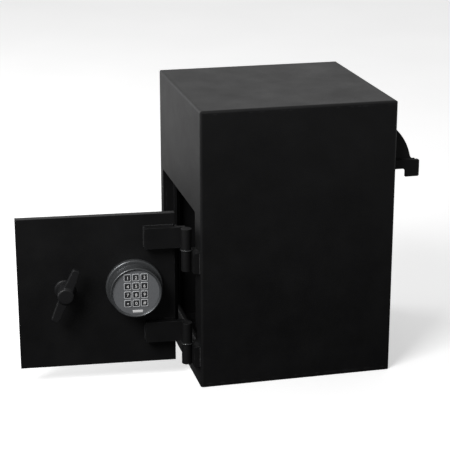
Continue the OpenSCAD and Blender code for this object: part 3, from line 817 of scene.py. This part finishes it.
def moulded_abs(name, dark, light, roughness):
    """Spark-eroded ABS: an even, slightly greyed black with a grain just too fine to feel."""
    material, tree, at = new_material(name)
    grain = add(tree, "ShaderNodeTexNoise", {"Vector": at, "Scale": 2600.0, "Detail": 2.0})
    handled = add(tree, "ShaderNodeTexNoise", {"Vector": at, "Scale": 160.0, "Detail": 3.0})
    colour = add(
        tree,
        "ShaderNodeMix",
        {0: handled.outputs["Fac"], 6: linear(dark), 7: linear(light)},
        data_type="RGBA",
    )
    rough = add(
        tree,
        "ShaderNodeMapRange",
        {"Value": handled.outputs["Fac"], "To Min": roughness - 0.1, "To Max": roughness + 0.1},
    )
    bump = add(
        tree,
        "ShaderNodeBump",
        {"Height": grain.outputs["Fac"], "Strength": 0.3, "Distance": 0.00003},
    )
    shader = add(
        tree,
        "ShaderNodeBsdfPrincipled",
        {
            "Base Color": colour.outputs[2],
            "Roughness": rough.outputs[0],
            "IOR": 1.53,
            "Normal": bump.outputs[0],
        },
    )
    show(tree, shader)
    return material


key_abs = moulded_abs("dark_key_abs", "#2e2f31", "#3c3d40", 0.42)
white_ink = moulded_abs("white_printing_ink", "#f0f0ee", "#ffffff", 0.5)


def skin(name, loops, material):
    """A closed shape through a stack of loops of equal count, its first and last loop capped."""
    work = bmesh.new()
    rows = [[work.verts.new(p) for p in loop] for loop in loops]
    for row, following in zip(rows, rows[1:]):
        for i in range(len(row)):
            k = (i + 1) % len(row)
            work.faces.new((row[i], row[k], following[k], following[i]))
    for row in (rows[0], rows[-1]):
        middle = work.verts.new(sum((v.co for v in row), Vector()) / len(row))
        for i in range(len(row)):
            work.faces.new((row[i], row[(i + 1) % len(row)], middle))
    bmesh.ops.recalc_face_normals(work, faces=work.faces)
    mesh = as_mesh(work, name)
    mesh.set_sharp_from_angle(angle=math.radians(50))
    mesh.transform(door_turn)
    return new_piece(name, mesh, material)


def rounded_loop(centre, width, height, radius, y):
    """An upright rounded rectangle about centre, at depth y."""
    corners = [
        (sx * width / 2, sz * height / 2, radius)
        for sx, sz in ((-1, -1), (1, -1), (1, 1), (-1, 1))
    ]
    outline = with_arcs(corners, closed=True, steps=4)
    return [Vector((centre.x + p.x, y, centre.z + p.y)) for p in outline]


legends = {"star": "*", "hash": "#"}
for name in key_names:
    low, high = key_boxes[name]
    middle = (low + high) / 2
    # (grown by, corner radius, depth in from the key's crest)
    depth = high.y - low.y
    steps = [
        (key_lip, 0.8 * mm, depth),
        (key_lip, 0.8 * mm, depth - 1.2 * mm),
        (0, 0.8 * mm, depth - 1.25 * mm),
        (0, 0.8 * mm, 0.55 * mm),
        (-0.12 * mm, 0.9 * mm, 0.22 * mm),
        (-0.4 * mm, 1.0 * mm, 0.04 * mm),
        (-0.8 * mm, 1.1 * mm, 0),
        (-1.3 * mm, 1.2 * mm, 0.06 * mm),
        (-2.2 * mm, 1.2 * mm, 0.2 * mm),
        (-3.2 * mm, 1.0 * mm, 0.28 * mm),
    ]
    loops = [
        rounded_loop(middle, key_size.x + 2 * grow, key_size.z + 2 * grow, radius, low.y + into)
        for grow, radius, into in steps
    ]
    cap = skin("key_cap_" + name, loops, key_abs)
    place(cap, "key_" + name, "key_plastic", "key_" + name)

    curve = bpy.data.curves.new("legend_" + name, "FONT")
    curve.body = legends.get(name, name)
    curve.size = 8.2 * mm
    curve.extrude = 0.06 * mm
    curve.offset = 0.14 * mm
    curve.align_x = "CENTER"
    text = bpy.data.objects.new("legend_curve", curve)
    bpy.context.scene.collection.objects.link(text)
    bpy.context.view_layer.update()
    depsgraph = bpy.context.evaluated_depsgraph_get()
    mesh = bpy.data.meshes.new_from_object(text.evaluated_get(depsgraph))
    bpy.data.objects.remove(text)
    ink_low, ink_high = box_of([v.co for v in mesh.vertices])
    mesh.transform(Matrix.Translation(-(ink_low + ink_high) / 2))
    on_key = Matrix.Translation((middle.x, low.y + 0.2 * mm, middle.z))
    mesh.transform(door_turn @ on_key @ upright)
    place(new_piece("legend_" + name, mesh, white_ink), "key_" + name, "key_plastic")

# ---------------------------------------------------------------- keypad plate
# A small satin anodised aluminium plate pressed into the face under the keys, left blank. It is
# drawn matt near-white, a painted reflection of the bright lamp it mirrors.

# near-white colour: a painted reflection of a bright lamp, not the plate's own tone
plate_painted_reflection = sprayed_grey("white_plate_painted_reflection", "#fafafa", "#ffffff", 0.5, 0.0003, 0.0)
low, high = shut_box("keypad_badge")
middle = (low + high) / 2
plate_w, plate_h = high.x - low.x, high.z - low.z
plate_steps = [
    (0, 1.0 * mm, 0.8 * mm),
    (0, 1.0 * mm, 0.3 * mm),
    (-0.15 * mm, 0.9 * mm, 0.1 * mm),
    (-0.45 * mm, 0.7 * mm, 0.02 * mm),
    (-1.0 * mm, 0.5 * mm, 0),
]
plate_loops = [
    rounded_loop(middle, plate_w + 2 * grow, plate_h + 2 * grow, radius, low.y + into)
    for grow, radius, into in plate_steps
]
place(skin("keypad_plate", plate_loops, plate_painted_reflection), "door", "badge_silver", "keypad_badge")

# ---------------------------------------------------------------- T-handle
# One forging with a round hub and a tapered bar, ground, then dipped in satin black.
# It turns on a stepped steel rose, and its spindle runs in a bronze bush in the door.

# the last colour is the lighter edge: rubbed enamel and a painted edge highlight
satin_black = powder_coat("satin_black_enamel", "#161617", "#202022", 0.47, 0.0022, "#48484a")

work = merged("t_handle")
forged = new_piece("t_handle_forged", as_mesh(work, "t_handle_forged"), satin_black)
# the voxels let the bar run into the hub in a fillet, as a forging does
voxels = forged.modifiers.new("voxels", "REMESH")
voxels.mode = "VOXEL"
voxels.voxel_size = 0.75 * mm
voxels.use_smooth_shade = True
flow = forged.modifiers.new("flow", "SMOOTH")
flow.factor = 0.5
flow.iterations = 7
place(baked(forged), "handle", "black_handle", "t_handle")

softened("handle_rose", 0.4 * mm, satin_black)
softened("handle_bush", 0.4 * mm, turned_brass)
paint("cable_tube", ground_steel)

# ---------------------------------------------------------------- lock
# The electronic lock is a sealed zinc casting, left as blasted, screwed behind the
# door with three socket screws. Its brass bolt is pushed in by the carriage's ramp.

blasted_zinc = bare_metal(
    "blasted_zinc_casting", "#6f7173", "#8b8d8f", 0.55, 0.0009, (1, 1, 1), depth=0.00006
)
softened("lock_case", 1.0 * mm, blasted_zinc)
softened("lock_bolt", 0.5 * mm, turned_brass)
bright_zinc = bare_metal("bright_zinc_plate", "#9a9da0", "#bfc2c4", 0.3, 0.0012, (1, 1, 0.3))


def screw_tree(material):
    """Geometry nodes for socket screws: a chamfered head with a hexagon hole, and its shank."""
    tree = bpy.data.node_groups.new("socket_screws", "GeometryNodeTree")
    ends = tree.interface
    ends.new_socket("Places", in_out="INPUT", socket_type="NodeSocketGeometry")
    names = ("Head radius", "Head height", "Hexagon radius", "Shank radius", "Shank length")
    sizes = {
        name: ends.new_socket(name, in_out="INPUT", socket_type="NodeSocketFloat").identifier
        for name in names
    }
    ends.new_socket("Screws", in_out="OUTPUT", socket_type="NodeSocketGeometry")
    given = add(tree, "NodeGroupInput").outputs
    chamfer = 0.12
    collar = add(
        tree,
        "ShaderNodeMath",
        {0: given["Head height"], 1: 1 - chamfer},
        operation="MULTIPLY",
    ).outputs[0]
    bevel = add(
        tree, "ShaderNodeMath", {0: given["Head height"], 1: chamfer}, operation="MULTIPLY"
    ).outputs[0]
    crown = add(
        tree, "ShaderNodeMath", {0: given["Head radius"], 1: bevel}, operation="SUBTRACT"
    ).outputs[0]
    side = add(
        tree,
        "GeometryNodeMeshCone",
        {
            "Vertices": 40,
            "Radius Top": given["Head radius"],
            "Radius Bottom": given["Head radius"],
            "Depth": collar,
        },
        fill_type="NONE",
    )
    top = add(
        tree,
        "GeometryNodeMeshCone",
        {
            "Vertices": 40,
            "Radius Top": crown,
            "Radius Bottom": given["Head radius"],
            "Depth": bevel,
        },
        fill_type="NONE",
    )
    raised = add(
        tree,
        "GeometryNodeTransform",
        {
            "Geometry": top.outputs["Mesh"],
            "Translation": add(tree, "ShaderNodeCombineXYZ", {"Z": collar}).outputs[0],
        },
    )
    lid = add(
        tree, "GeometryNodeMeshCircle", {"Vertices": 40, "Radius": crown}, fill_type="NGON"
    )
    to_crown = add(tree, "ShaderNodeCombineXYZ", {"Z": given["Head height"]}).outputs[0]
    lid_up = add(
        tree, "GeometryNodeTransform", {"Geometry": lid.outputs[0], "Translation": to_crown}
    )
    seat = add(
        tree,
        "GeometryNodeMeshCircle",
        {"Vertices": 40, "Radius": given["Head radius"]},
        fill_type="NGON",
    )
    seat_down = add(tree, "GeometryNodeFlipFaces", {"Mesh": seat.outputs[0]})
    shell = add(tree, "GeometryNodeJoinGeometry")
    for part in (side.outputs["Mesh"], raised.outputs[0], lid_up.outputs[0], seat_down.outputs[0]):
        tree.links.new(part, shell.inputs[0])
    closed = add(
        tree, "GeometryNodeMergeByDistance", {"Geometry": shell.outputs[0], "Distance": 0.000001}
    )
    hexagon = add(
        tree,
        "GeometryNodeMeshCylinder",
        {"Vertices": 6, "Radius": given["Hexagon radius"], "Depth": given["Head height"]},
    )
    hole_z = add(
        tree, "ShaderNodeMath", {0: given["Head height"], 1: 0.9}, operation="MULTIPLY"
    ).outputs[0]
    hole = add(
        tree,
        "GeometryNodeTransform",
        {
            "Geometry": hexagon.outputs["Mesh"],
            "Translation": add(tree, "ShaderNodeCombineXYZ", {"Z": hole_z}).outputs[0],
        },
    )
    head = add(
        tree,
        "GeometryNodeMeshBoolean",
        {"Mesh 1": closed.outputs[0], "Mesh 2": hole.outputs[0]},
        operation="DIFFERENCE",
    )
    shank = add(
        tree,
        "GeometryNodeMeshCylinder",
        {"Vertices": 32, "Radius": given["Shank radius"], "Depth": given["Shank length"]},
    )
    half = add(
        tree, "ShaderNodeMath", {0: given["Shank length"], 1: -0.5}, operation="MULTIPLY"
    ).outputs[0]
    shank_down = add(
        tree,
        "GeometryNodeTransform",
        {
            "Geometry": shank.outputs["Mesh"],
            "Translation": add(tree, "ShaderNodeCombineXYZ", {"Z": half}).outputs[0],
        },
    )
    screw = add(tree, "GeometryNodeJoinGeometry")
    for part in (head.outputs[0], shank_down.outputs[0]):
        tree.links.new(part, screw.inputs[0])
    placed = add(
        tree,
        "GeometryNodeInstanceOnPoints",
        {"Points": given["Places"], "Instance": screw.outputs[0]},
    )
    real = add(tree, "GeometryNodeRealizeInstances", {"Geometry": placed.outputs[0]})
    done = add(
        tree, "GeometryNodeSetMaterial", {"Geometry": real.outputs[0], "Material": material}
    )
    add(tree, "NodeGroupOutput", {0: done.outputs[0]})
    return tree, sizes


screw_group, screw_sizes = screw_tree(bright_zinc)


def solids_of(node):
    """The boxes of a node's separate solids, with the door turned back to shut."""
    work = merged(node)
    work.verts.ensure_lookup_table()
    left = set(work.verts)
    boxes = []
    while left:
        found = {left.pop()}
        edge_of_search = list(found)
        while edge_of_search:
            for edge in edge_of_search.pop().link_edges:
                for vert in edge.verts:
                    if vert in left:
                        left.remove(vert)
                        found.add(vert)
                        edge_of_search.append(vert)
        boxes.append(box_of([shut @ v.co for v in found]))
    work.free()
    return boxes


def socket_screws(node, head_height, hexagon, shank):
    """Socket screws in place of a node's plain ones, heads facing the inside of the box."""
    boxes = solids_of(node)
    head_radius = (boxes[0][1].x - boxes[0][0].x) / 2
    length = boxes[0][1].y - boxes[0][0].y - head_height
    # the tree's heads point along +Z, so its places are laid flat and turned up together
    face = Matrix.Rotation(math.radians(-90), 4, "X")
    places = [
        face.inverted() @ Vector(((a.x + b.x) / 2, b.y - head_height, (a.z + b.z) / 2))
        for a, b in boxes
    ]
    mesh = bpy.data.meshes.new(node + "_finished")
    mesh.from_pydata(places, [], [])
    piece = new_piece(node + "_finished", mesh, bright_zinc)
    layer = piece.modifiers.new("screws", "NODES")
    layer.node_group = screw_group
    layer[screw_sizes["Head radius"]] = head_radius
    layer[screw_sizes["Head height"]] = head_height
    layer[screw_sizes["Hexagon radius"]] = hexagon
    layer[screw_sizes["Shank radius"]] = shank
    layer[screw_sizes["Shank length"]] = length
    baked(piece)
    piece.data.transform(door_turn @ face)
    piece.data.shade_smooth()
    piece.data.set_sharp_from_angle(angle=math.radians(35))
    return place(piece, "door", slot_of[node], node)


socket_screws("lock_screws", 4 * mm, 2.6 * mm, 3 * mm)

# ---------------------------------------------------------------- bolt work
# A laser-cut plate, bright zinc plated, slides on two sleeved shoulder screws.
# A crank on the handle's spindle drives it by a pin, and it carries three turned
# steel bolts, each held by a nut behind the plate's bent flange.

softened("bolt_carriage", 0.5 * mm, bright_zinc)
softened("handle_crank", 0.6 * mm, bright_zinc)
turned_steel = bare_metal("turned_bright_steel", "#b4b5b6", "#d0d1d2", 0.22, 0.0007, (1, 0.2, 0.2))
softened("locking_bolts", 0.4 * mm, turned_steel)
softened("bolt_nuts", 0.6 * mm, bright_zinc)
softened("carriage_spacers", 0.3 * mm, turned_brass)
socket_screws("carriage_screws", 5 * mm, 4.2 * mm, 5 * mm)

# ---------------------------------------------------------------- hopper
# Rolled sheet between two cut ends makes a drum. Two hooked flat bars welded outside
# the ends, with a round grip and a thick plate between them, lift it out of the box.
# It turns on steel stubs in bronze bushes, and the plate rests on two rubber pads.

softened("hopper_drum", 0.6 * mm, black_coat)
for name in ("hopper_end_left", "hopper_end_right"):
    softened(name, 0.6 * mm, black_coat)
softened("hopper_lift_plate", 1.2 * mm, black_coat)
softened("hopper_grip", 0.6 * mm, black_coat)
softened("hopper_stubs", 0.6 * mm, turned_steel)
plate_low, plate_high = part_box("hopper_lift_plate")
grip_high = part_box("hopper_grip")[1]
grip_seams = [
    [(plate_low.x + 2 * mm, plate_high.y, z), (plate_high.x - 2 * mm, plate_high.y, z)]
    for z in (plate_low.z, plate_high.z)
]
weld("lift_plate_weld", "hopper", grip_seams)
# each arm is welded along its top to the drum's end, out to where the end curves away
end_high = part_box("hopper_end_right")[1]
arm_seams = [
    [(x, plate_low.y + 2 * mm, grip_high.z), (x, end_high.y - 1 * mm, grip_high.z)]
    for x in (-end_high.x, end_high.x)
]
weld("arm_welds", "hopper", arm_seams, radius=2 * mm)


def moulded_rubber():
    """Black nitrile: matt, a little dusty, with a faint mould grain."""
    material, tree, at = new_material("black_nitrile_rubber")
    grain = add(tree, "ShaderNodeTexNoise", {"Vector": at, "Scale": 1800.0, "Detail": 3.0})
    dust = add(tree, "ShaderNodeTexNoise", {"Vector": at, "Scale": 120.0, "Detail": 5.0})
    colour = add(
        tree,
        "ShaderNodeMix",
        {0: dust.outputs["Fac"], 6: linear("#161616"), 7: linear("#2a2a29")},
        data_type="RGBA",
    )
    bump = add(
        tree,
        "ShaderNodeBump",
        {"Height": grain.outputs["Fac"], "Strength": 0.5, "Distance": 0.00005},
    )
    shader = add(
        tree,
        "ShaderNodeBsdfPrincipled",
        {
            "Base Color": colour.outputs[2],
            "Roughness": 0.82,
            "IOR": 1.52,
            "Normal": bump.outputs[0],
        },
    )
    show(tree, shader)
    return material


softened("hopper_pads", 0.4 * mm, moulded_rubber())

# ---------------------------------------------------------------- floor, light and camera
# A pale seamless floor in a white room, brighter on the left, with two soft boxes.
# The coat picks the room up as a dull shine, and a black card round the foot of the
# box keeps that shine off the lower half of the sides.

scene = bpy.context.scene
scene.view_settings.view_transform = "Standard"


def plain(name, dark, light, roughness, glow):
    """A matt colour for the studio's own surfaces; glow lifts it towards the white room."""
    material, tree, at = new_material(name)
    mottle = add(tree, "ShaderNodeTexNoise", {"Vector": at, "Scale": 3.0, "Detail": 2.0})
    tint = add(
        tree,
        "ShaderNodeMix",
        {0: mottle.outputs["Fac"], 6: linear(dark), 7: linear(light)},
        data_type="RGBA",
    )
    shader = add(
        tree,
        "ShaderNodeBsdfPrincipled",
        {
            "Base Color": tint.outputs[2],
            "Roughness": roughness,
            "Specular IOR Level": 0.1,
            "Emission Color": (1, 1, 1, 1),
            "Emission Strength": glow,
        },
    )
    show(tree, shader)
    return material


def sheet(name, low, high, z, material):
    """A flat rectangle of the studio's, which isn't part of the object."""
    mesh = bpy.data.meshes.new(name)
    (x0, y0), (x1, y1) = low, high
    mesh.from_pydata([(x0, y0, z), (x1, y0, z), (x1, y1, z), (x0, y1, z)], [], [(0, 1, 2, 3)])
    piece = new_piece(name, mesh, material)
    return piece


paper = plain("pale_paper_sweep", "#f4f4f4", "#ffffff", 0.9, 0.45)
floor = sheet("floor", (-7, -7), (7, 7), -0.4 * mm, paper)
floor.visible_glossy = False
floor.visible_diffuse = False
# a black card round the foot of the box, seen only in the coat's reflections
black_card = plain("black_card", "#020202", "#060606", 0.9, 0.0)
card = sheet("black_card", (-1.2, -1.2), (1.0, 0.7), 0.2 * mm, black_card)
card.visible_camera = False
card.visible_diffuse = False
card.visible_shadow = False

world = bpy.data.worlds.new("white_room")
scene.world = world
world.use_nodes = True
room = world.node_tree
room.nodes.clear()
direction = add(room, "ShaderNodeTexCoord").outputs["Generated"]
parts = add(room, "ShaderNodeSeparateXYZ", {"Vector": direction})
# brighter on the left, dim behind the camera
left_wall = add(
    room,
    "ShaderNodeMapRange",
    {
        "Value": parts.outputs["X"],
        "From Min": 1.0,
        "From Max": -1.0,
        "To Min": 0.08,
        "To Max": 0.55,
    },
)
seen = add(room, "ShaderNodeBackground", {"Color": (1, 1, 1, 1), "Strength": 1.0})
lit = add(room, "ShaderNodeBackground", {"Color": (1, 1, 1, 1), "Strength": left_wall.outputs[0]})
ray = add(room, "ShaderNodeLightPath")
both = add(
    room,
    "ShaderNodeMixShader",
    {0: ray.outputs["Is Camera Ray"], 1: lit.outputs[0], 2: seen.outputs[0]},
)
add(room, "ShaderNodeOutputWorld", {"Surface": both.outputs[0]})


def soft_box(name, place_at, aim_at, size, watts):
    """A square area light, aimed at a point."""
    lamp = bpy.data.lights.new(name, "AREA")
    lamp.size = size
    lamp.energy = watts
    box = bpy.data.objects.new(name, lamp)
    scene.collection.objects.link(box)
    box.location = place_at
    box.rotation_euler = (Vector(aim_at) - Vector(place_at)).to_track_quat("-Z", "Y").to_euler()
    return box


middle_of_box = (cad_box[0] + cad_box[1]) / 2
soft_box("key_light", (1.9, -2.2, 2.6), middle_of_box, 1.6, 90)
soft_box("left_light", (-1.6, -2.6, 1.4), middle_of_box, 1.4, 40)

# the camera looks down at the hinge side from 76 degrees round
azimuth, elevation, distance = math.radians(76.39), math.radians(17.88), 2.7325
aim = Vector((0.0103, -0.0935, 0.2479))
back = Vector(
    (
        math.sin(azimuth) * math.cos(elevation),
        -math.cos(azimuth) * math.cos(elevation),
        math.sin(elevation),
    )
)
lens = bpy.data.cameras.new("camera")
lens.lens = 117.3
lens.sensor_width = 36
camera = bpy.data.objects.new("camera", lens)
scene.collection.objects.link(camera)
camera.location = aim + back * distance
camera.rotation_euler = (-back).to_track_quat("-Z", "Y").to_euler()
scene.camera = camera
